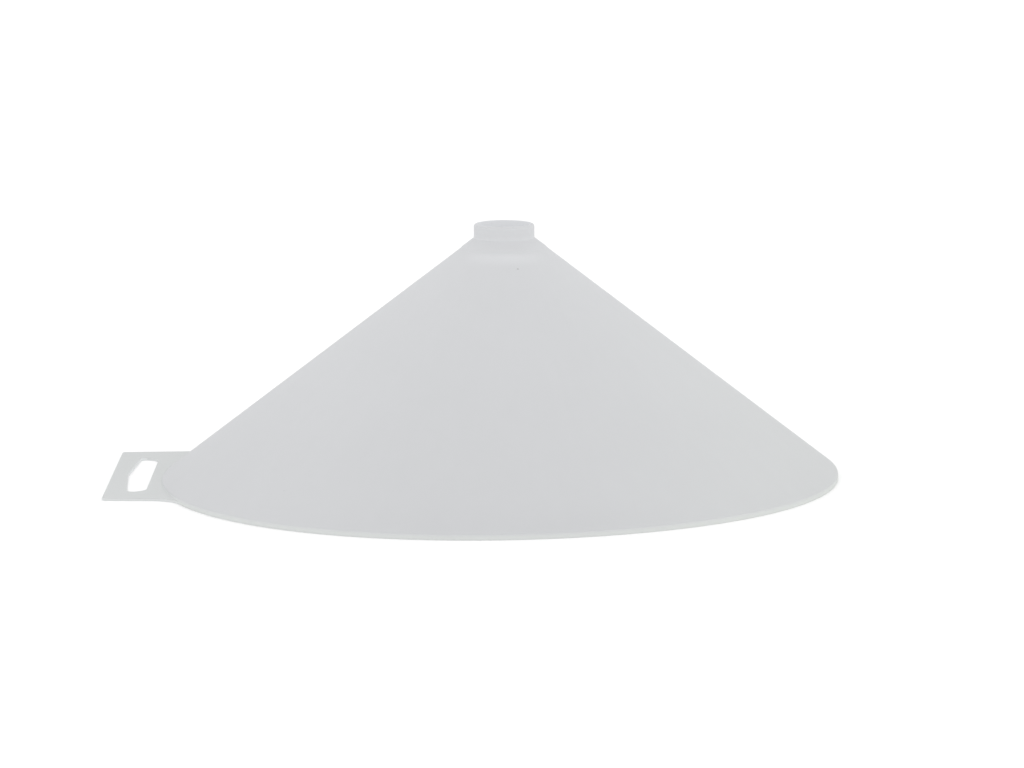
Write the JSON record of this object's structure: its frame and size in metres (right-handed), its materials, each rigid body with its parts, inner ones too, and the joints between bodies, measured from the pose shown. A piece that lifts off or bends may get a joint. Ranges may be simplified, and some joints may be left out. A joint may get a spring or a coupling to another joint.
{
  "type": "canning funnel",
  "caption": "Wide shallow conical funnel with a short narrow neck, a thickened rim to stand on and a flat hanging tab with a slot.",
  "frame": {"origin": "centre of the rim's foot, on the funnel's axis, in the plane that the funnel stands on when its neck points up", "axes": "+Z along the neck, out of its mouth; -X out along the handle tab"},
  "size_m": [0.2174, 0.2, 0.076],
  "materials": {
    "natural_polypropylene": "frosted, translucent, undyed"
  },
  "bodies": {
    "root": {"neck_collar": "natural_polypropylene", "neck_shoulder": "natural_polypropylene", "cone_wall": "natural_polypropylene", "rim_lip": "natural_polypropylene", "handle_tab": "natural_polypropylene"}
  },
  "joints": []
}
